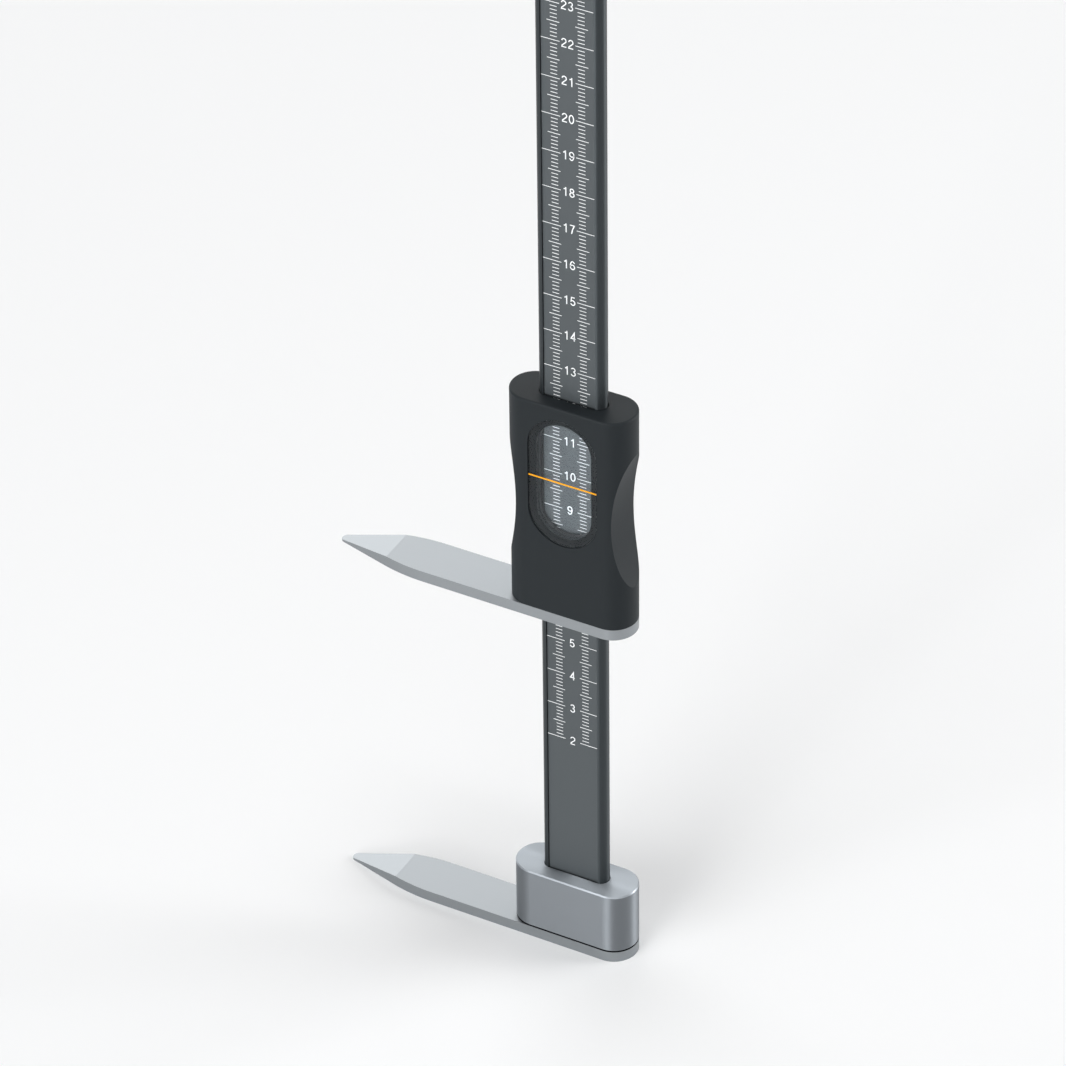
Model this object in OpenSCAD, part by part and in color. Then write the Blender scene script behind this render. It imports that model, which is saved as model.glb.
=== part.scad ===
// Sliding foot calliper: a flat upright beam with a centimetre scale, a fixed blade
// at its foot and a second blade carried by a slider with a reading window.
// Millimetres. Origin on the underside of the fixed blade, on the axis of the beam.
// +Z runs up the beam, the scale faces -Y and both blades point to -X.

/* [Outline] */
// Width of the rounded outline that the head, the slider and the blade roots share
body_w = 33; // [30:0.5:40]
// Depth of that outline, front to back
body_d = 12.5; // [12:0.5:16]

/* [Beam] */
// Width of the beam
beam_w = 17.7; // [15:0.1:18]
// Thickness of the beam
beam_t = 4.5; // [4.5:0.1:5.4]
// Radius of the four long edges of the beam
beam_edge_r = 2.2; // [0.8:0.1:2.2]
// Width of the scale strip and of the recess that holds it
strip_w = 13.8; // [10:0.1:14]
// Thickness of the scale strip
strip_t = 0.2; // [0.1:0.05:0.4]
// Depth of the face of the strip below the front of the beam
recess_d = 0.45; // [0.3:0.05:0.9]

/* [Reading] */
// Largest distance between the blades that the scale covers
reading_max = 300; // [200:10:600]
// Distance between the blades as stored
reading = 100; // [30:10:180]
// Height of the scale's zero mark over the foot
zero_z = 42.5; // [40:0.5:50]
// Free length of beam left over the slider at the largest reading
spare_travel = 1.5; // [0.5:0.5:20]

/* [Blades] */
// Thickness of both blades
blade_t = 3; // [2.5:0.1:4]
// Distance from the beam's axis to the tip of a blade
blade_reach = 64.5; // [60:0.5:110]
// Radius of the curve where the blade starts to narrow
taper_r = 44; // [20:1:70]
// Angle of each side of the narrowing end
taper_a = 15; // [12:1:20]
// Radius of the tip seen from above
tip_r = 1.2; // [0.8:0.1:2]
// Thickness left at the tip
tip_t = 0.5; // [0.3:0.1:1]
// Length of the ramp that thins the tip
ramp_l = 15.1; // [8:0.1:20]

/* [Head] */
// Height of the head block over the fixed blade
head_h = 17.5; // [15:0.5:25]
// Bright edge broken along the head's rim
rim_c = 0.3; // [0.1:0.1:1]
// Height of the shadow groove between the head and the blade
groove_h = 0.5; // [0.3:0.1:1]
// Depth of that groove
groove_d = 0.6; // [0.3:0.1:0.9]

/* [Slider] */
// Height of the moulded slider body
slider_h = 60.5; // [54:0.5:80]
// Radius of the soft edge round its top
soft_r = 0.5; // [0.3:0.1:1.5]
// Radius of the finger hollows in its sides
hollow_r = 51.5; // [40:0.5:70]
// Depth of the finger hollows
hollow_d = 3.7; // [1.5:0.05:4]
// Height of the middle of the finger hollows over the underside of the slider body
hollow_z = 30; // [26:0.5:34]
// Thickness of the lip over the guide sleeve
lip_t = 2; // [1.5:0.1:3]

/* [Window] */
// Width of the lens seat
window_w = 18.4; // [14:0.2:20]
// Height of the lens seat
window_h = 36.4; // [28:0.2:40]
// Depth of the lens seat
seat_d = 1.5; // [1.3:0.1:1.6]
// Width of the ledge under the lens
ledge_w = 1.9; // [1:0.1:2.5]
// Thickness of the lens
lens_t = 1.2; // [0.8:0.1:1.3]
// Width of the index line
index_w = 0.45; // [0.2:0.05:0.8]
// Depth of the index line in the face of the lens
index_d = 0.15; // [0.1:0.05:0.3]

/* [Guide] */
// Wall of the guide sleeve
sleeve_t = 1.1; // [0.9:0.1:1.2]
// Width of the pressure pad in the back of the sleeve
pad_w = 8; // [6:0.5:10]
// Height of the pressure pad
pad_h = 40; // [36:1:48]
// Depth of the pocket behind the pad
pocket_d = 1; // [0.8:0.1:1]
// Width of the leaf spring
leaf_w = 6; // [4:0.5:6]
// Length of the leaf spring
leaf_l = 32; // [24:1:34]
// Thickness of the leaf spring
leaf_t = 0.3; // [0.2:0.05:0.4]
// Distance from the middle of the spring to each adjusting screw
adjuster_z = 14; // [8:1:14]

/* [Fasteners] */
// Diameter of the blade screws and the grub screws
screw_d = 3; // [2.5:0.5:3]
// Diameter of the heads of the blade screws
screw_head_d = 5; // [4.5:0.1:5.4]
// Length of the fixed blade's screws
fixed_screw_l = 10; // [8:1:14]
// Length of the moving blade's screws
moving_screw_l = 8; // [7:1:10]
// Diameter of the dowel pins
dowel_d = 2; // [1.5:0.5:2]
// Length of the dowel pins
dowel_l = 7.5; // [5:0.5:10]
// Diameter of the threaded inserts in the slider
insert_d = 4.4; // [4:0.1:4.8]
// Length of the threaded inserts
insert_l = 6; // [4:0.5:8]
// Distance from the beam's axis to each of the head's grub screws
grub_x = 4.5; // [3:0.5:5.5]

/* [End cap] */
// Height of the end cap
cap_h = 8; // [6:0.5:14]
// Wall of the end cap round the beam
cap_wall = 1.8; // [1.2:0.1:2.5]
// Thickness of the top of the end cap
cap_top = 2; // [2:0.1:3]
// Edge broken round the top of the end cap
cap_c = 0.8; // [0.3:0.1:1.2]
// Diameter of the end cap's screws
cap_screw_d = 2; // [2:0.5:2.5]
// Length of the end cap's screws
cap_screw_l = 10; // [8:1:14]
// Distance from the beam's axis to each end cap screw
cap_screw_x = 5; // [3:0.5:6]

/* [Fits] */
// Gap between the beam and the guide that it slides in
run_gap = 0.1; // [0.05:0.05:0.15]
// Gap between the beam and the slots that it passes without touching
slot_gap = 0.2; // [0.2:0.05:0.6]
// Gap between the beam and the head before the grub screws clamp it
clamp_gap = 0.12; // [0.05:0.01:0.2]
// Gap between two pieces that are fixed together
seat_gap = 0.05; // [0.02:0.01:0.1]

/* [Hidden] */
$fn = 96;
over = 1;                                   // how far a cutter runs past a face
join = 0.01;                                // overlap that makes two cutters one
large_fn = 360;                             // facets round a large radius
beam_r = min(beam_edge_r, beam_t / 2 - 0.05);  // the beam's edges keep a narrow flat between them
body_r = body_d / 2;                        // the outline ends in full rounds
end_x = body_w / 2 - body_r;                // centre of each round end
sleeve_x = beam_w / 2 + run_gap + sleeve_t; // half width of the sleeve outside
sleeve_y = beam_t / 2 + run_gap + sleeve_t; // half depth of the sleeve outside
head_z = blade_t + head_h;                  // top of the head
moving_z = reading + tip_t;                 // underside of the moving blade
slider_z = moving_z + blade_t;              // underside of the slider body
slider_mid = slider_z + slider_h / 2;       // middle of the sleeve's pad and spring
index_z = zero_z + reading;                 // height of the index line
seat_y = body_d / 2 - seat_d;               // floor of the lens seat, front side
lens_y = seat_y + lens_t;                   // face of the lens, front side
cap_z = reading_max + tip_t + blade_t + slider_h + spare_travel; // underside of the cap
beam_top = cap_z + cap_h - cap_top;         // end of the beam inside the cap
screw_x = (sleeve_x + body_w / 2) / 2;      // blade screws, between slot and end
dowel_wall = 0.6;                           // least metal or plastic beside a dowel
dowel_x = sleeve_x + dowel_wall + dowel_d / 2;        // dowels, nearer the slot
dowel_y = body_r - groove_d - dowel_wall - dowel_d / 2;
dowel_sink = 0.5;                           // how far a dowel stops short of the blade's underside
socket_w = 0.7;                             // socket of a countersunk screw, as a share of its diameter
socket_d = 0.45;                            // depth of that socket, likewise
grub_socket = 0.5;                          // socket of a grub screw, wide and deep, likewise
cap_head_d = 2 * cap_screw_d;               // heads of the end cap's screws
clear_gap = 0.1;                            // between a screw and a hole that it passes freely
run_out = 1;                                // free depth past a threaded insert
pocket_y = sleeve_y + pocket_d;             // floor of the spring's pocket
grub_z = blade_t + head_h / 2;              // the head's grub screws
// Narrowing end of a blade: a straight side runs from the tip's round to the shoulder
tip_x = blade_reach - tip_r;                // centre of the tip's round
side_x = tip_x + tip_r * sin(taper_a);      // where the straight side leaves that round
side_y = tip_r * cos(taper_a);
meet_x = side_x - (body_r - side_y) / tan(taper_a);  // where it would meet the parallel part
curve_x = meet_x - taper_r * tan(taper_a / 2);       // start of the shoulder's curve
ramp_a = atan((blade_t - tip_t) / ramp_l);
shoulder_steps = 12;                        // straight pieces in the shoulder's curve
tip_steps = 16;                             // straight pieces in the tip's round
// Leaf spring: an arc that touches the pad at its middle
leaf_gap = 0.02;                            // from the pad to the spring
leaf_y = sleeve_y + leaf_gap;
leaf_rise = pocket_d - leaf_t - seat_gap;
leaf_r = (pow(leaf_l / 2, 2) + pow(leaf_rise, 2)) / (2 * leaf_rise);
leaf_side = 0.5;                            // room beside the spring in its pocket
leaf_end = 1;                               // room past its ends, so that it can flatten
adjuster_sink = 0.1;                        // the adjusting screws sit this far below the surface

// ---- shapes that repeat ----

// An upright bar with two full round ends
module pill(w, d, h) {
    x = (w - d) / 2;
    for (s = [-1, 1]) translate([s * x, 0, 0]) cylinder(d = d, h = h);
    translate([-x, -d / 2, 0]) cube([2 * x, d, h]);
}

// The same bar with its top edge worked to the half profile given by the children
module profiled_pill(w, d) {
    x = (w - d) / 2;
    for (s = [-1, 1]) translate([s * x, 0, 0]) rotate_extrude() children();
    for (m = [0, 1]) mirror([0, m, 0]) translate([-x, 0, 0])
        rotate([90, 0, 90]) linear_extrude(2 * x) children();
}

// Half profile with a rounded top corner
module soft_profile(r, h, soft) {
    square([r, h - soft]);
    square([r - soft, h]);
    translate([r - soft, h - soft]) circle(soft);
}

// Half profile with a bevelled top corner
module bevelled_profile(r, h, c) {
    polygon([[0, 0], [r, 0], [r, h - c], [r - c, h], [0, h]]);
}

// An upright bar with four rounded edges
module rounded_bar(w, d, h, r) {
    for (sx = [-1, 1], sy = [-1, 1])
        translate([sx * (w / 2 - r), sy * (d / 2 - r), 0]) cylinder(r = r, h = h);
    translate([-w / 2, -d / 2 + r, 0]) cube([w, d - 2 * r, h]);
    translate([-w / 2 + r, -d / 2, 0]) cube([w - 2 * r, d, h]);
}

// The same bar with its top edge bevelled
module bevelled_bar(w, d, h, r, c) {
    rounded_bar(w, d, h - c, r);
    for (sx = [-1, 1], sy = [-1, 1])
        translate([sx * (w / 2 - r), sy * (d / 2 - r), 0])
            rotate_extrude() bevelled_profile(r, h, c);
    for (m = [0, 1]) mirror([0, m, 0]) translate([-w / 2 + r, d / 2 - r, 0])
        rotate([90, 0, 90]) linear_extrude(w - 2 * r) bevelled_profile(r, h, c);
    for (m = [0, 1]) mirror([m, 0, 0]) translate([w / 2 - r, d / 2 - r, 0])
        rotate([90, 0, 0]) linear_extrude(d - 2 * r) bevelled_profile(r, h, c);
    translate([-w / 2 + r, -d / 2 + r, 0]) cube([w - 2 * r, d - 2 * r, h]);
}

// The room that the beam needs in a piece it passes, from z0 to z1
module beam_slot(gap, z0, z1) {
    translate([0, 0, z0])
        rounded_bar(beam_w + 2 * gap, beam_t + 2 * gap, z1 - z0, beam_r + gap);
}

// An upright window shape, cut along Y from y0 to y1 round the index line
module window_slot(w, h, y0, y1) {
    translate([0, y1, index_z]) rotate([90, 0, 0]) {
        for (s = [-1, 1]) translate([0, s * (h - w) / 2, 0]) cylinder(d = w, h = y1 - y0);
        translate([-w / 2, -(h - w) / 2, 0]) cube([w, h - w, y1 - y0]);
    }
}

// A countersunk screw, or the hole for one, with its head's face at the origin
module countersunk(d, head_d, l, gap = 0) {
    cylinder(d = d + 2 * gap, h = l);
    cylinder(d1 = head_d + 2 * gap, d2 = d + 2 * gap, h = (head_d - d) / 2);
    if (gap > 0) translate([0, 0, -over]) cylinder(d = head_d + 2 * gap, h = over + join);
}

module countersunk_screw(d, head_d, l) {
    difference() {
        countersunk(d, head_d, l);
        translate([0, 0, -over]) cylinder(d = socket_w * d, h = over + socket_d * d, $fn = 6);
    }
}

// A headless screw of length l along +Z, with its socket at the origin
module grub_screw(d, l) {
    difference() {
        cylinder(d = d, h = l);
        translate([0, 0, -over])
            cylinder(d = grub_socket * d, h = over + min(grub_socket * d, l / 2), $fn = 6);
    }
}

// One on each side of the beam
module pair(x) {
    for (s = [-1, 1]) translate([s * x, 0, 0]) children();
}

// The two dowels lie on a diagonal
module dowel_pair() {
    for (s = [-1, 1]) translate([s * dowel_x, s * dowel_y, 0]) children();
}

// Points along an arc round [x, y] from angle a0 to a1
function arc(x, y, r, a0, a1, steps) =
    [for (i = [0 : steps]) let (a = a0 + (a1 - a0) * i / steps) [x + r * cos(a), y + r * sin(a)]];

// Plan of a blade: round root, parallel part, curved shoulders, straight sides, round tip
module blade_plan() {
    translate([end_x, 0]) circle(body_r);
    polygon(concat(
        [[end_x, body_r]],
        arc(-curve_x, body_r - taper_r, taper_r, 90, 90 + taper_a, shoulder_steps),
        arc(-tip_x, 0, tip_r, 90 + taper_a, 270 - taper_a, tip_steps),
        arc(-curve_x, taper_r - body_r, taper_r, 270 - taper_a, 270, shoulder_steps),
        [[end_x, -body_r]]));
}

// A blade with its underside at z = 0, thinned to its tip from above
module blade() {
    difference() {
        linear_extrude(blade_t) blade_plan();
        translate([-blade_reach + ramp_l, -body_d, blade_t]) rotate([0, -ramp_a, 0])
            translate([-2 * ramp_l, 0, 0]) cube([2 * ramp_l, 2 * body_d, 2 * blade_t]);
        pair(screw_x) countersunk(screw_d, screw_head_d, blade_t + over, seat_gap);
        dowel_pair() translate([0, 0, -over])
            cylinder(d = dowel_d + 2 * seat_gap, h = blade_t + 2 * over);
    }
}

module dowels() {
    dowel_pair() translate([0, 0, dowel_sink]) cylinder(d = dowel_d, h = dowel_l);
}

// ---- fixed pieces ----

module beam() {
    color("#5b6265") difference() {
        translate([0, 0, blade_t]) rounded_bar(beam_w, beam_t, beam_top - blade_t, beam_r);
        translate([-strip_w / 2, -beam_t / 2 - over, 0])
            cube([strip_w, over + recess_d + strip_t, beam_top + over]);
        translate([0, 0, beam_top - cap_screw_l])
            pair(cap_screw_x) cylinder(d = cap_screw_d + 2 * seat_gap, h = cap_screw_l + over);
    }
}

module scale_strip() {
    color("#5f6669")
        translate([-strip_w / 2 + seat_gap, -beam_t / 2 + recess_d, blade_t])
            cube([strip_w - 2 * seat_gap, strip_t, beam_top - blade_t]);
}

module fixed_head() {
    color("#9aa2a8") difference() {
        translate([0, 0, blade_t]) union() {
            pill(body_w - 2 * groove_d, body_d - 2 * groove_d, groove_h + over);
            translate([0, 0, groove_h]) profiled_pill(body_w, body_d)
                bevelled_profile(body_r, head_h - groove_h, rim_c);
        }
        beam_slot(clamp_gap, blade_t - over, head_z + over);
        pair(screw_x) cylinder(d = screw_d + 2 * seat_gap, h = fixed_screw_l + over);
        dowel_pair() cylinder(d = dowel_d + 2 * seat_gap, h = dowel_l + over);
        pair(grub_x) translate([0, 0, grub_z]) rotate([-90, 0, 0])
            cylinder(d = screw_d + 2 * seat_gap, h = body_d);
    }
}

module fixed_blade() {
    color("#b4babf") blade();
}

module fixed_blade_screws() {
    color("#8d9296") pair(screw_x) countersunk_screw(screw_d, screw_head_d, fixed_screw_l);
}

module fixed_blade_dowels() {
    color("#8d9296") dowels();
}

module head_grub_screws() {
    grub_l = body_r - beam_t / 2 - rim_c;
    color("#3c3f42") pair(grub_x) translate([0, beam_t / 2 + grub_l, grub_z])
        rotate([90, 0, 0]) grub_screw(screw_d, grub_l);
}

module end_cap() {
    color("#36393c") difference() {
        translate([0, 0, cap_z]) bevelled_bar(beam_w + 2 * (seat_gap + cap_wall),
            beam_t + 2 * (seat_gap + cap_wall), cap_h, beam_r + seat_gap + cap_wall, cap_c);
        beam_slot(seat_gap, cap_z - over, beam_top);
        translate([0, 0, cap_z + cap_h]) mirror([0, 0, 1])
            pair(cap_screw_x) countersunk(cap_screw_d, cap_head_d, cap_h, seat_gap);
    }
}

module end_cap_screws() {
    color("#8d9296") translate([0, 0, cap_z + cap_h]) mirror([0, 0, 1])
        pair(cap_screw_x) countersunk_screw(cap_screw_d, cap_head_d, cap_screw_l);
}

// ---- pieces that slide along the beam ----

module slider_body() {
    color("#34393c") difference() {
        translate([0, 0, slider_z]) profiled_pill(body_w, body_d)
            soft_profile(body_r, slider_h, soft_r);
        // finger hollows
        pair(body_w / 2 - hollow_d + hollow_r) translate([0, 0, slider_z + hollow_z])
            rotate([90, 0, 0]) cylinder(r = hollow_r, h = 2 * body_d, center = true, $fn = large_fn);
        // room for the sleeve, and the beam's way out through the lip
        translate([0, 0, slider_z - over]) rounded_bar(2 * sleeve_x, 2 * sleeve_y,
            slider_h - lip_t + over, beam_r + run_gap + sleeve_t);
        beam_slot(slot_gap, slider_z, slider_z + slider_h + over);
        // lens seat, and the opening behind it
        window_slot(window_w, window_h, -body_d, -seat_y);
        window_slot(window_w - 2 * ledge_w, window_h - 2 * ledge_w, -body_d, 0);
        // pocket for the spring, with its two adjusting screws
        translate([-leaf_w / 2 - leaf_side, 0, slider_mid - leaf_l / 2 - leaf_end])
            cube([leaf_w + 2 * leaf_side, pocket_y, leaf_l + 2 * leaf_end]);
        for (s = [-1, 1]) translate([0, 0, slider_mid + s * adjuster_z])
            rotate([-90, 0, 0]) cylinder(d = screw_d + 2 * seat_gap, h = body_d);
        // inserts with run-out over them, and dowel holes
        translate([0, 0, slider_z - over]) pair(screw_x) {
            cylinder(d = insert_d + 2 * seat_gap, h = insert_l + over);
            cylinder(d = screw_d + 2 * clear_gap, h = insert_l + over + run_out);
        }
        translate([0, 0, moving_z]) dowel_pair()
            cylinder(d = dowel_d + 2 * seat_gap, h = dowel_l + over);
    }
}

module window_lens() {
    color("#c9d6da", 0.4) difference() {
        window_slot(window_w - 2 * seat_gap, window_h - 2 * seat_gap, -lens_y, -seat_y);
        translate([-window_w, -lens_y - over, index_z - index_w / 2])
            cube([2 * window_w, over + index_d, index_w]);
    }
}

module index_line() {
    color("#f5aa14") translate([-window_w / 2 + seat_gap, -lens_y, index_z - index_w / 2])
        cube([window_w - 2 * seat_gap, index_d, index_w]);
}

module moving_blade() {
    color("#b4babf") difference() {
        translate([0, 0, moving_z]) blade();
        beam_slot(slot_gap, moving_z - over, slider_z + over);
    }
}

module moving_blade_screws() {
    color("#8d9296") translate([0, 0, moving_z])
        pair(screw_x) countersunk_screw(screw_d, screw_head_d, moving_screw_l);
}

module moving_blade_dowels() {
    color("#8d9296") translate([0, 0, moving_z]) dowels();
}

module threaded_inserts() {
    color("#b8974a") translate([0, 0, slider_z]) pair(screw_x) difference() {
        cylinder(d = insert_d, h = insert_l);
        translate([0, 0, -over])
            cylinder(d = screw_d + 2 * seat_gap, h = insert_l + 2 * over);
    }
}

module guide_sleeve() {
    color("#26292b") difference() {
        translate([0, 0, slider_z]) rounded_bar(2 * sleeve_x - 2 * seat_gap,
            2 * sleeve_y - 2 * seat_gap, slider_h - lip_t, beam_r + run_gap + sleeve_t - seat_gap);
        beam_slot(run_gap, slider_z - over, slider_z + slider_h);
        window_slot(window_w - 2 * ledge_w, window_h - 2 * ledge_w, -body_d, 0);
        translate([-pad_w / 2, 0, slider_mid - pad_h / 2]) cube([pad_w, body_d, pad_h]);
    }
}

module pressure_pad() {
    color("#d8d4c8")
        translate([-pad_w / 2 + seat_gap, beam_t / 2 + run_gap, slider_mid - pad_h / 2 + seat_gap])
            cube([pad_w - 2 * seat_gap, sleeve_t, pad_h - 2 * seat_gap]);
}

module leaf_spring() {
    color("#a7adb2") intersection() {
        translate([0, leaf_y + leaf_r, slider_mid]) rotate([0, 90, 0]) difference() {
            cylinder(r = leaf_r, h = leaf_w, center = true, $fn = large_fn);
            cylinder(r = leaf_r - leaf_t, h = leaf_w + 2 * over, center = true, $fn = large_fn);
        }
        translate([-leaf_w / 2, leaf_y - over, slider_mid - leaf_l / 2])
            cube([leaf_w, over + pocket_d, leaf_l]);
    }
}

module adjusting_screws() {
    adjuster_l = body_r - pocket_y - adjuster_sink;
    color("#3c3f42") for (s = [-1, 1])
        translate([0, pocket_y + adjuster_l, slider_mid + s * adjuster_z])
            rotate([90, 0, 0]) grub_screw(screw_d, adjuster_l);
}

beam();
scale_strip();
fixed_head();
fixed_blade();
fixed_blade_screws();
fixed_blade_dowels();
head_grub_screws();
end_cap();
end_cap_screws();
slider_body();
window_lens();
index_line();
moving_blade();
moving_blade_screws();
moving_blade_dowels();
threaded_inserts();
guide_sleeve();
pressure_pad();
leaf_spring();
adjusting_screws();
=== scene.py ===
# %% [markdown]
# # A foot calliper, dressed for its portrait
# The instrument stands upright on its lower blade. A flat anodised beam carries a centimetre
# scale, a satin metal head clamps the lower blade to it, and a dark moulded slider carries the
# upper blade and a window with an orange index line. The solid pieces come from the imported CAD
# model. This script gives them their finishes, prints the scale on the beam, and sets the light.

# %% Load the frame
import math

import bpy
from mathutils import Matrix, Vector


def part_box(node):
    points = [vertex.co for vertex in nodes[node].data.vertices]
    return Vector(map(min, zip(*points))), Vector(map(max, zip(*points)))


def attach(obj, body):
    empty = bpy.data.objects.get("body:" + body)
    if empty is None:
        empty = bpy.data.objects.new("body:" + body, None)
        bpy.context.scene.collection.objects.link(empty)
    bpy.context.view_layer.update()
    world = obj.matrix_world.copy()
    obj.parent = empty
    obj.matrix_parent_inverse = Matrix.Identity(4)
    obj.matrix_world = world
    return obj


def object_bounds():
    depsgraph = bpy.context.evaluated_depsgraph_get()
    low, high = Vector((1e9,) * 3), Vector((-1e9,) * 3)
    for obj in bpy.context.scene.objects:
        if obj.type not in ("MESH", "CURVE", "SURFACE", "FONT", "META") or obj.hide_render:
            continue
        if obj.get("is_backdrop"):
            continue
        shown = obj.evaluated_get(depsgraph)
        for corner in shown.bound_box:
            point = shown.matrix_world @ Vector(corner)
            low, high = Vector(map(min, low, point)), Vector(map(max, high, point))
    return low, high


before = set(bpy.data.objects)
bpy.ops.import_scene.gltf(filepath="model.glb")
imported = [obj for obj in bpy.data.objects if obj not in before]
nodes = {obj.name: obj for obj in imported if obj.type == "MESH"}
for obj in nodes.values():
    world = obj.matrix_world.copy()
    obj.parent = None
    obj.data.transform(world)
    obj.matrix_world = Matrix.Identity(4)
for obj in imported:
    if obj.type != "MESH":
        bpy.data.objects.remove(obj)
cad_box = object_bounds()
MM = 0.001
print("pieces:", len(nodes), "height in mm:", round((cad_box[1].z - cad_box[0].z) / MM, 1))

# %% [markdown]
# ## The camera
# A long lens from above and to the right, far enough away that upright lines stay nearly
# parallel. The camera could be aimed with a Track To constraint. Here its three axes are worked
# out from two angles and a slight roll, because that says exactly where the picture was taken from.

# %% Place the camera
CAMERA_PLACE = Vector((579.7, -1070.4, 1025.6)) * MM
CAMERA_TURN = math.radians(28.908)      # round the upright, from straight in front
CAMERA_HEIGHT = math.radians(36.512)    # above the horizon
CAMERA_ROLL = math.radians(-0.705)
LENS = 214.83


def camera_matrix(place, turn, height, roll):
    """A camera's matrix from where it stands and how it is turned."""
    flat = Vector((math.sin(turn), -math.cos(turn), 0))
    back = flat * math.cos(height) + Vector((0, 0, math.sin(height)))
    level = Vector((math.cos(turn), math.sin(turn), 0))
    upward = back.cross(level)
    right = math.cos(roll) * level + math.sin(roll) * upward
    up = math.cos(roll) * upward - math.sin(roll) * level
    return Matrix.Translation(place) @ Matrix((right, up, back)).transposed().to_4x4()


bpy.ops.object.select_all(action="DESELECT")
bpy.ops.object.camera_add()
camera = bpy.context.object
camera.data.sensor_width = 36
camera.data.lens = LENS
camera.data.clip_start = 0.05
camera.data.clip_end = 20
camera.matrix_world = camera_matrix(CAMERA_PLACE, CAMERA_TURN, CAMERA_HEIGHT, CAMERA_ROLL)
bpy.context.scene.camera = camera
print("camera looks from", [round(x, 3) for x in camera.location])

# %% [markdown]
# ## A way to write shader maths
# A node tree is a sum written with boxes and wires. Wrapping each output socket in a small class
# lets the sum be written as Python: `1 - mask * 0.3` adds the Math nodes by itself. Everything
# that isn't a sum goes through one method, which takes a node's type, its settings and its inputs.


# %% Sockets that can be added and multiplied
class Wire:
    """An output socket that arithmetic can be done with."""

    def __init__(self, finish, socket):
        self.finish = finish
        self.socket = socket

    def _math(self, operation, first, second):
        return self.finish.node("Math", {"operation": operation}, {0: first, 1: second})

    def __add__(self, other):
        return self._math("ADD", self, other)

    def __radd__(self, other):
        return self._math("ADD", other, self)

    def __sub__(self, other):
        return self._math("SUBTRACT", self, other)

    def __rsub__(self, other):
        return self._math("SUBTRACT", other, self)

    def __mul__(self, other):
        return self._math("MULTIPLY", self, other)

    def __rmul__(self, other):
        return self._math("MULTIPLY", other, self)


class Finish:
    """A material with a Principled shader, and the means to wire it."""

    def __init__(self, name):
        self.material = bpy.data.materials.new(name)
        self.material.use_nodes = True
        self.tree = self.material.node_tree
        self.shader = self.tree.nodes["Principled BSDF"]

    def feed(self, socket, value):
        """Joins a wire to an input socket, or sets the socket's own value."""
        if isinstance(value, Wire):
            self.tree.links.new(value.socket, socket)
        else:
            socket.default_value = value

    def node(self, kind, settings=None, inputs=None, output=0):
        """Adds a node of a kind, such as TexNoise, and returns one of its outputs."""
        made = self.tree.nodes.new("ShaderNode" + kind)
        for name, value in (settings or {}).items():
            setattr(made, name, value)
        for name, value in (inputs or {}).items():
            self.feed(made.inputs[name], value)
        return Wire(self, made.outputs[output])

    def place(self, stretch):
        """Object coordinates in metres, multiplied along each axis."""
        where = self.node("TexCoord", output="Object")
        return self.node("Mapping", {}, {"Vector": where, "Scale": stretch})

    def along(self, axis):
        """One of the Object coordinates, in metres: X, Y or Z."""
        where = self.node("TexCoord", output="Object")
        return self.node("SeparateXYZ", {}, {"Vector": where}, output=axis)

    def above(self, value, limit):
        """1 where the value is greater than the limit, and 0 elsewhere."""
        return self.node("Math", {"operation": "GREATER_THAN"}, {0: value, 1: limit})

    def mix(self, factor, first, second):
        """A colour between two colours."""
        made = self.tree.nodes.new("ShaderNodeMix")
        made.data_type = "RGBA"
        self.feed(made.inputs[0], factor)
        self.feed(made.inputs[6], first)
        self.feed(made.inputs[7], second)
        return Wire(self, made.outputs[2])

    def set(self, **values):
        """Sets the shader's sockets: underscores in a name stand for spaces."""
        for name, value in values.items():
            self.feed(self.shader.inputs[name.replace("_", " ")], value)
        return self


def shade(colour, factor):
    """A colour made darker or lighter, with its alpha."""
    return tuple(c * factor for c in colour) + (1,)


print("shader helper ready")

# %% [markdown]
# ## Metal finishes
# Satin metal isn't one grey. The grain of the last abrasive runs one way, so streaks long in that
# direction and fine across it vary the colour and the roughness a little, and a slight bump
# spreads the highlight. The head and the beam were worked round and along, which draws their
# reflections out into upright bands: the shader's Anisotropic value does that. One recipe serves
# the blades, the head and the beam, with other numbers.


# %% A recipe for metal with a grain
BUMP_DEPTH = 0.01 * MM                  # how deep the marks of the finish are
METAL_VARY = 0.05                       # how far streaks take the colour up and down
METAL_UNEVEN = 0.06                     # and how far they take the roughness


def metal(name, colour, roughness, grain, metallic=1.0, shine=0.5, stretch=0.0, painted_shade=None):
    """Grained metal. grain is how fine the streaks are along x, y and z, in waves a metre.

    stretch draws reflections out into upright bands, from 0 for none.
    The last argument, if given, is a function that says how much of the colour each place keeps: it paints
    shade.
    """
    f = Finish(name)
    where = f.place(grain)
    streaks = f.node("TexNoise", {}, {"Vector": where, "Scale": 1.0, "Detail": 3.0, "Roughness": 0.6})
    bump = f.node("Bump", {}, {"Strength": 0.25, "Distance": BUMP_DEPTH, "Height": streaks})
    grained = f.mix(streaks, shade(colour, 1 - METAL_VARY), shade(colour, 1 + METAL_VARY))
    # Painted shade: the colour is mixed towards black where the function says.
    if painted_shade:
        grained = f.mix(painted_shade(f), (0, 0, 0, 1), grained)
    f.set(
        Base_Color=grained,
        Metallic=metallic,
        Roughness=roughness - METAL_UNEVEN + 2 * METAL_UNEVEN * streaks,
        Specular_IOR_Level=shine,
        Anisotropic=stretch,
        Anisotropic_Rotation=0.25,
        Normal=bump,
    )
    return f.material


print("metal recipe ready")
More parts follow.
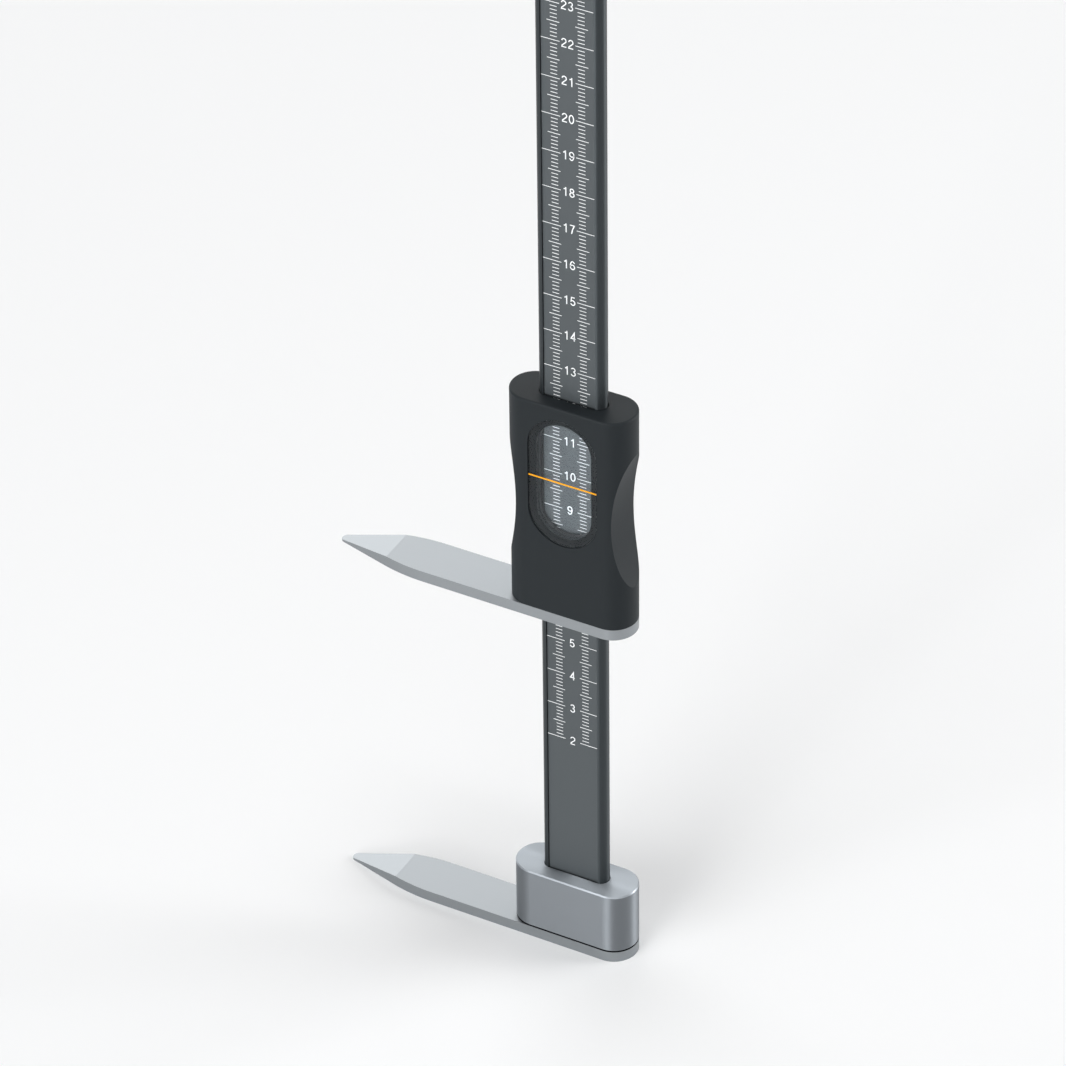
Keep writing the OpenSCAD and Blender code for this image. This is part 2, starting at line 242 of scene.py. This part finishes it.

# %% [markdown]
# ## The head and the blade under it
# The head's side is painted darker than its top, as shade, and the top with its edge, broken to a rim,
# keeps the full colour, as painted light. A shadow groove runs round the foot of the head: its faces
# and its floor, which is the top of the lower blade, are painted near black, as shade. Separate
# materials would need the meshes cut. Steps at heights, worked out from the Object coordinates and
# the head's box, do the same with the meshes left whole.

# %% Painted shade and light on the head and the lower blade
head_low, head_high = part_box("fixed_head")
GROOVE_H = 0.5 * MM                     # the shadow groove round the foot of the head
RIM_C = 0.3 * MM                        # the broken edge round its top
LIP_W = 0.05 * MM                       # the lit lip of the blade round the groove
# Painted shade: the groove is painted near black.
GROOVE_PAINTED_SHADE = 0.03                     # what the groove keeps of the metal's colour
# Painted shade on the head's side; the top and rim keep the full colour as painted light.
SIDE_PAINTED_SHADE = 0.6                        # what the head's side keeps: its top and rim keep all


def head_share(f):
    """Dark in the groove, paler from the groove up, and palest on the rim and the top."""
    # Painted shade in the groove and on the side, with the top and rim painted lighter.
    side = f.above(f.along("Z"), head_low.z + GROOVE_H)
    top = f.above(f.along("Z"), head_high.z - RIM_C)
    return GROOVE_PAINTED_SHADE + (SIDE_PAINTED_SHADE - GROOVE_PAINTED_SHADE) * side + (1 - SIDE_PAINTED_SHADE) * top


def blade_share(f):
    """Dark where the lower blade's top is the floor of the groove, inside the head's outline."""
    # Painted shade: the lower blade's top is painted near black where it is the floor of the groove.
    end_r = head_high.y - LIP_W
    end_x = head_high.x - head_high.y   # where the head's round end starts
    past_end = f.node("Math", {"operation": "ABSOLUTE"}, {0: f.along("X")}) - end_x
    past_end = f.node("Math", {"operation": "MAXIMUM"}, {0: past_end, 1: 0.0})
    y = f.along("Y")
    outside = f.above(past_end * past_end + y * y, end_r * end_r)
    floor_up = f.above(f.along("Z"), head_low.z - LIP_W)
    groove_up = f.above(f.along("Z"), head_low.z + GROOVE_H)
    return 1 - (1 - GROOVE_PAINTED_SHADE) * (floor_up - groove_up) * (1 - outside)


print("head from", round(head_low.z / MM, 1), "to", round(head_high.z / MM, 1), "mm up")

# %% The metals
# The lower blade and the head take painted shade through their last arguments.
blade_metal = metal("blade satin steel", (0.283, 0.301, 0.315), 0.42, (300, 9000, 9000), painted_shade=blade_share)
head_metal = metal(
    "head satin aluminium", (0.3, 0.325, 0.35), 0.5, (900, 900, 9000), stretch=0.8, painted_shade=head_share
)
beam_metal = metal(
    "beam dark anodising", (0.036, 0.043, 0.047), 0.4, (9000, 9000, 250), metallic=0.7, stretch=0.8
)
strip_metal = metal(
    "strip grey anodising", (0.07, 0.08, 0.086), 0.5, (9000, 9000, 250), metallic=0.25, shine=0.31
)
fastener_metal = metal("machined steel", (0.42, 0.43, 0.44), 0.35, (4000, 4000, 9000))
black_metal = metal("black oxide steel", (0.03, 0.03, 0.032), 0.45, (4000, 4000, 9000), metallic=0.6)
spring_metal = metal("spring strip", (0.38, 0.39, 0.41), 0.3, (9000, 9000, 300))
brass = metal("turned brass", (0.62, 0.44, 0.18), 0.3, (4000, 4000, 9000))
METALS = (
    blade_metal, head_metal, beam_metal, strip_metal, fastener_metal, black_metal, spring_metal, brass
)
print("metals:", [m.name for m in METALS])

# %% [markdown]
# ## Plastics
# The slider is moulded in a mould with a spark-eroded surface, which leaves an even, very fine
# grain. A noise texture about a sixth of a millimetre across gives it through a bump, and a much
# larger, faint noise keeps the colour from being dead flat. The print on the scale and the index
# line are ink, which is as dull as plastic, so they take the same recipe.


# %% A recipe for moulded plastic
FINE_GRAIN = 6000                       # waves a metre
BROAD_GRAIN = 40
PLASTIC_VARY = 0.04                     # how far the grain takes the colour up and down
PLASTIC_UNEVEN = 0.05                   # and how far it takes the roughness


def plastic(name, colour, roughness, shine=0.5):
    """Moulded plastic with a fine eroded grain."""
    f = Finish(name)
    fine = f.node("TexNoise", {}, {"Vector": f.place((FINE_GRAIN,) * 3), "Scale": 1.0, "Detail": 2.0})
    broad = f.node("TexNoise", {}, {"Vector": f.place((BROAD_GRAIN,) * 3), "Scale": 1.0, "Detail": 2.0})
    bump = f.node("Bump", {}, {"Strength": 0.35, "Distance": BUMP_DEPTH, "Height": fine})
    mottle = 0.5 * fine + 0.5 * broad
    f.set(
        Base_Color=f.mix(mottle, shade(colour, 1 - PLASTIC_VARY), shade(colour, 1 + PLASTIC_VARY)),
        Roughness=roughness - PLASTIC_UNEVEN + 2 * PLASTIC_UNEVEN * fine,
        Specular_IOR_Level=shine,
        Normal=bump,
    )
    return f.material


HOUSING_BLACK = (0.0112, 0.0146, 0.017)
slider_plastic = plastic("slider moulding", HOUSING_BLACK, 0.55, shine=0.16)
cap_plastic = plastic("cap moulding", HOUSING_BLACK, 0.55, shine=0.16)
sleeve_plastic = plastic("guide liner", (0.02, 0.021, 0.023), 0.4)
pad_plastic = plastic("pressure pad", (0.7, 0.68, 0.6), 0.5)
mark_paint = plastic("scale marks", (0.87, 0.89, 0.9), 0.6)
index_ink = plastic("index line", (0.75, 0.33, 0.003), 0.5, shine=0.15)
PLASTICS = (slider_plastic, cap_plastic, sleeve_plastic, pad_plastic, mark_paint, index_ink)
print("plastics and inks:", [m.name for m in PLASTICS])

# %% [markdown]
# ## The clear window
# The lens is a thick acrylic plate, which bends the light, so that the scale behind it looks moved
# a little towards the eye. That is what a full Transmission Weight gives. Cycles would leave the
# scale in the dark, because its shadow rays stop at bending surfaces. So a Mix Shader turns the
# lens into a Transparent one for shadow rays alone, which lets the lamps shine straight through.

# %% The lens finish
lens = Finish("window clear")
lens.set(
    Base_Color=(0.8, 0.83, 0.85, 1),
    Roughness=0.02,
    IOR=1.49,
    Transmission_Weight=1.0,
    Specular_Tint=(0.4, 0.43, 0.45, 1),
)
bending = Wire(lens, lens.shader.outputs[0])
shadow_ray = lens.node("LightPath", output="Is Shadow Ray")
lets_through = lens.node("BsdfTransparent")
both = lens.node("MixShader", {}, {0: shadow_ray, 1: bending, 2: lets_through})
lens.feed(lens.tree.nodes["Material Output"].inputs["Surface"], both)
print("lens finish:", lens.material.name)

# %% [markdown]
# ## Dressing the solid pieces
# Each piece from the model keeps its own mesh and takes one finish. The pieces could be picked one
# by one by hand. A dictionary from piece to finish does it in one loop, and shows the whole list.

# %% Give each piece its finish
DRESS = {
    "beam": beam_metal,
    "scale_strip": strip_metal,
    "fixed_head": head_metal,
    "fixed_blade": blade_metal,
    "fixed_blade_screws": fastener_metal,
    "fixed_blade_dowels": fastener_metal,
    "head_grub_screws": black_metal,
    "end_cap": cap_plastic,
    "end_cap_screws": fastener_metal,
    "slider_body": slider_plastic,
    "window_lens": lens.material,
    "index_line": index_ink,
    "moving_blade": blade_metal,
    "moving_blade_screws": fastener_metal,
    "moving_blade_dowels": fastener_metal,
    "threaded_inserts": brass,
    "guide_sleeve": sleeve_plastic,
    "pressure_pad": pad_plastic,
    "leaf_spring": spring_metal,
    "adjusting_screws": black_metal,
}
for name, material in DRESS.items():
    for slot in nodes[name].material_slots:
        slot.material = material
print("dressed", len(DRESS), "of", len(nodes))

# %% [markdown]
# ## The scale
# The lines are printed on the strip, a few hundredths of a millimetre proud. Each length of line
# is modelled once as a thin bar, repeated up the beam by Array modifiers, and mirrored to the
# other side of the numbers. The millimetre lines come in fours, so that none lies under a longer
# one: one Array makes the four, a second repeats them every five millimetres.

# %% Values of the scale
strip_low, strip_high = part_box("scale_strip")
STRIP_FACE = strip_low.y                # the face that carries the marks
ZERO_Z = 42.5 * MM                      # height of the scale's zero
FIRST_CM = 2
LAST_CM = 30
LINE_W = 0.15 * MM                      # thickness of a printed line
PRINT_T = 0.02 * MM                     # how far the print stands proud
CM_LINE = (2.05 * MM, 6.85 * MM)        # from and to, sideways from the middle
HALF_LINE = (2.05 * MM, 5.3 * MM)
MM_LINE = (2.67 * MM, 4.43 * MM)
print("strip face at y =", round(STRIP_FACE / MM, 3), "mm")


# %% Lines of the scale
def scale_lines(name, span, first_mm, arrays):
    """Bars from span[0] to span[1], repeated by (count, pitch) arrays and mirrored."""
    bpy.ops.object.select_all(action="DESELECT")
    bpy.ops.mesh.primitive_cube_add(size=1)
    bar = bpy.context.object
    bar.name = name
    bar.scale = (span[1] - span[0], 2 * PRINT_T, LINE_W)
    bar.location = ((span[0] + span[1]) / 2, STRIP_FACE, ZERO_Z + first_mm * MM)
    bpy.ops.object.transform_apply(location=True, rotation=True, scale=True)
    for count, pitch in arrays:
        row = bar.modifiers.new("row", "ARRAY")
        row.use_relative_offset = False
        row.use_constant_offset = True
        row.constant_offset_displace = (0, 0, pitch)
        row.count = count
        bpy.ops.object.modifier_apply(modifier=row.name)
    other_side = bar.modifiers.new("other side", "MIRROR")
    other_side.use_mirror_merge = False
    bpy.ops.object.modifier_apply(modifier=other_side.name)
    bar.data.materials.append(mark_paint)
    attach(bar, "base")
    return bar


CENTIMETRES = LAST_CM - FIRST_CM
cm_lines = scale_lines("centimetre_lines", CM_LINE, 10 * FIRST_CM, [(CENTIMETRES + 1, 10 * MM)])
half_lines = scale_lines("half_centimetre_lines", HALF_LINE, 10 * FIRST_CM + 5, [(CENTIMETRES, 10 * MM)])
mm_lines = scale_lines(
    "millimetre_lines", MM_LINE, 10 * FIRST_CM + 1, [(4, 1 * MM), (2 * CENTIMETRES, 5 * MM)]
)
print("lines:", sum(len(o.data.polygons) for o in (cm_lines, half_lines, mm_lines)) // 6)

# %% [markdown]
# ## The numbers
# A text object would do, but its built-in lettering has a bare stroke for a 1. The numbers on such
# scales are plain single-width strokes, so each digit is drawn as strokes here, on a grid one
# unit high: straight runs and arcs. A rectangular profile swept along them, as a curve's bevel
# object, gives the ink. The curves then become meshes, and are joined into one piece.

# %% Digits as strokes
DIGIT_H = 2.45 * MM                     # height of a digit
STROKE = 0.115                          # width of the stroke, as a share of the height
DIGIT_STEP = 0.72                       # from one digit to the next, likewise
DIGIT_W = 0.58                          # width of the digits, likewise
R = STROKE / 2                          # from an edge of a digit to the middle of its stroke


def arc(x, z, rx, rz, start, end, steps=14):
    """Points along part of an ellipse, by angle from the right, anticlockwise."""
    angles = [math.radians(start + (end - start) * i / steps) for i in range(steps + 1)]
    return [(x + rx * math.cos(a), z + rz * math.sin(a)) for a in angles]


SIX = [
    arc(0.29, 0.31, 0.22, 0.31 - R, 0, 360, 28),
    arc(0.31, 0.42, 0.245, 0.58 - R, 187, 40),
]
DIGITS = {
    "0": [arc(0.29, 0.5, 0.225, 0.5 - R, 0, 360, 32)],
    "1": [[(0.36, 0), (0.36, 1 - R / 2)], [(0.12, 0.74), (0.22, 0.76), (0.31, 0.84), (0.36, 0.97)]],
    "2": [arc(0.29, 0.70, 0.22, 0.3 - R, 175, -25) + [(0.09, 0.19), (0.07, R), (0.53, R)]],
    "3": [arc(0.28, 0.74, 0.2, 0.26 - R, 160, -90), arc(0.28, 0.285, 0.22, 0.285 - R, 90, -165)],
    "4": [[(0.42, 0), (0.42, 1 - R), (0.07, 0.29), (0.56, 0.29)]],
    "5": [[(0.5, 1 - R), (0.16, 1 - R), (0.105, 0.5)] + arc(0.29, 0.32, 0.22, 0.32 - R, 125, -160)],
    "6": SIX,
    "7": [[(0.05, 1 - R), (0.51, 1 - R), (0.34, 0.55), (0.22, 0)]],
    "8": [arc(0.29, 0.745, 0.185, 0.255 - R, 0, 360, 28), arc(0.29, 0.28, 0.22, 0.28 - R, 0, 360, 28)],
    "9": [[(DIGIT_W - x, 1 - z) for x, z in stroke] for stroke in SIX],
}
print("digits drawn:", "".join(DIGITS))


# %% Sweep the strokes and put a number at each centimetre
TOUCHING = 1e-6                         # ends of a stroke this close make a ring


def ink_profile():
    """The little rectangle that is swept along a stroke."""
    bpy.ops.object.select_all(action="DESELECT")
    bpy.ops.curve.primitive_bezier_circle_add(radius=1)
    profile = bpy.context.object
    data = profile.data
    data.splines.clear()
    corners = data.splines.new("POLY")
    corners.points.add(3)
    half_w = STROKE * DIGIT_H / 2
    for point, (x, y) in zip(corners.points, [(-1, -1), (1, -1), (1, 1), (-1, 1)]):
        point.co = (x * half_w, y * PRINT_T, 0, 1)
    corners.use_cyclic_u = True
    return profile


def number(value, profile):
    """One number, centred on the beam at its own centimetre."""
    text = str(value)
    width = (len(text) - 1) * DIGIT_STEP + DIGIT_W
    data = bpy.data.curves.new("number_%02d" % value, "CURVE")
    data.dimensions = "2D"
    data.bevel_mode = "OBJECT"
    data.bevel_object = profile
    data.use_fill_caps = True
    for place, digit in enumerate(text):
        for stroke in DIGITS[digit]:
            closed = (Vector(stroke[0]) - Vector(stroke[-1])).length < TOUCHING
            points = stroke[:-1] if closed else stroke
            spline = data.splines.new("POLY")
            spline.points.add(len(points) - 1)
            for point, (x, z) in zip(spline.points, points):
                shifted = x + place * DIGIT_STEP - width / 2
                point.co = (shifted * DIGIT_H, (z - 0.5) * DIGIT_H, 0, 1)
            spline.use_cyclic_u = closed
    ink = bpy.data.objects.new(data.name, data)
    bpy.context.collection.objects.link(ink)
    bpy.ops.object.select_all(action="DESELECT")
    ink.select_set(True)
    bpy.context.view_layer.objects.active = ink
    bpy.ops.object.convert(target="MESH")
    ink = bpy.context.object
    ink.rotation_euler = (math.radians(90), 0, 0)
    ink.location = (0, STRIP_FACE, ZERO_Z + 10 * value * MM)
    bpy.ops.object.transform_apply(location=True, rotation=True, scale=True)
    return ink


profile = ink_profile()
numbers = [number(value, profile) for value in range(FIRST_CM, LAST_CM + 1)]
bpy.ops.object.select_all(action="DESELECT")
for ink in numbers:
    ink.select_set(True)
bpy.context.view_layer.objects.active = numbers[0]
bpy.ops.object.join()
scale_numbers = bpy.context.object
scale_numbers.name = "scale_numbers"
scale_numbers.data.materials.clear()
scale_numbers.data.materials.append(mark_paint)
bpy.data.objects.remove(profile)
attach(scale_numbers, "base")
print("faces in the numbers:", len(scale_numbers.data.polygons))

# %% [markdown]
# ## Floor and light
# The instrument stands on a white sheet in an even studio. The floor is one large disc. Soft
# panels stand round it with gaps between them, so that round metal ends show a darker band between
# two lighter ones. Two small panels stand close to the floor: they light upright faces and hardly
# touch level ones. The air itself is white only where it is seen, mirrored or looked at through
# the lens. It lights nothing, which keeps the shadow beside the head.

# %% The floor
bpy.ops.object.select_all(action="DESELECT")
bpy.ops.mesh.primitive_circle_add(vertices=96, radius=4, fill_type="NGON")
floor = bpy.context.object
floor.name = "floor"
paper = Finish("studio paper")
paper.set(Base_Color=(0.925, 0.93, 0.935, 1), Roughness=0.9, Specular_IOR_Level=0.2)
floor.data.materials.append(paper.material)
floor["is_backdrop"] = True
print("floor radius 4 m")


# %% The lamps
PANEL_DISTANCE = 1600 * MM
AIM = Vector((0, 0, 120)) * MM          # the panels face this place on the beam
WIDE = 0.9                              # sides of the two sizes of panel, in metres
SMALL = 0.5


def panel(name, turn, height, size, power):
    """A square soft light that faces the instrument, from a turn and a height in degrees."""
    a, e = math.radians(turn), math.radians(height)
    toward = Vector((math.sin(a) * math.cos(e), -math.cos(a) * math.cos(e), math.sin(e)))
    bpy.ops.object.light_add(type="AREA")
    lamp = bpy.context.object
    lamp.name = name
    lamp.data.shape = "SQUARE"
    lamp.data.size = size
    lamp.data.energy = power
    facing = toward.to_track_quat("Z", "Y").to_matrix().to_4x4()
    lamp.matrix_world = Matrix.Translation(AIM + toward * PANEL_DISTANCE) @ facing


panel("front", turn=-20, height=20, size=WIDE, power=10)
panel("front_low", turn=0, height=5, size=SMALL, power=14)
panel("right", turn=130, height=20, size=WIDE, power=10.5)
panel("right_low", turn=120, height=5, size=SMALL, power=12)
panel("overhead", turn=0, height=85, size=WIDE, power=14.4)
panel("back_left", turn=-150, height=20, size=WIDE, power=5.3)
panel("left", turn=-115, height=20, size=WIDE, power=5.3)

# %% The white air
AIR_LIGHT = 0.0                         # the world's strength where it only lights things
AIR_SEEN = 1.0                          # and where it is seen
world = bpy.data.worlds.new("studio air")
bpy.context.scene.world = world
world.use_nodes = True
air = world.node_tree.nodes["Background"]
air.inputs["Color"].default_value = (1, 1, 1, 1)
ray = world.node_tree.nodes.new("ShaderNodeLightPath")
shown = ray.outputs["Is Camera Ray"]
for kind in ("Is Glossy Ray", "Is Transmission Ray"):
    either = world.node_tree.nodes.new("ShaderNodeMath")
    either.operation = "MAXIMUM"
    world.node_tree.links.new(shown, either.inputs[0])
    world.node_tree.links.new(ray.outputs[kind], either.inputs[1])
    shown = either.outputs[0]
level = world.node_tree.nodes.new("ShaderNodeMapRange")
world.node_tree.links.new(shown, level.inputs["Value"])
level.inputs["To Min"].default_value = AIR_LIGHT
level.inputs["To Max"].default_value = AIR_SEEN
world.node_tree.links.new(level.outputs["Result"], air.inputs["Strength"])
print("world:", world.name)

# %% [markdown]
# ## Finish
# The picture is shown as it is computed, with no film curve, and the box of the dressed model is
# measured against the box of the solids: the largest difference is printed.

bpy.context.scene.view_settings.view_transform = "Standard"
dressed_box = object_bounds()
growth = max(abs(a - b) for p, q in zip(cad_box, dressed_box) for a, b in zip(p, q))
print("largest growth in mm:", round(growth / MM, 3))
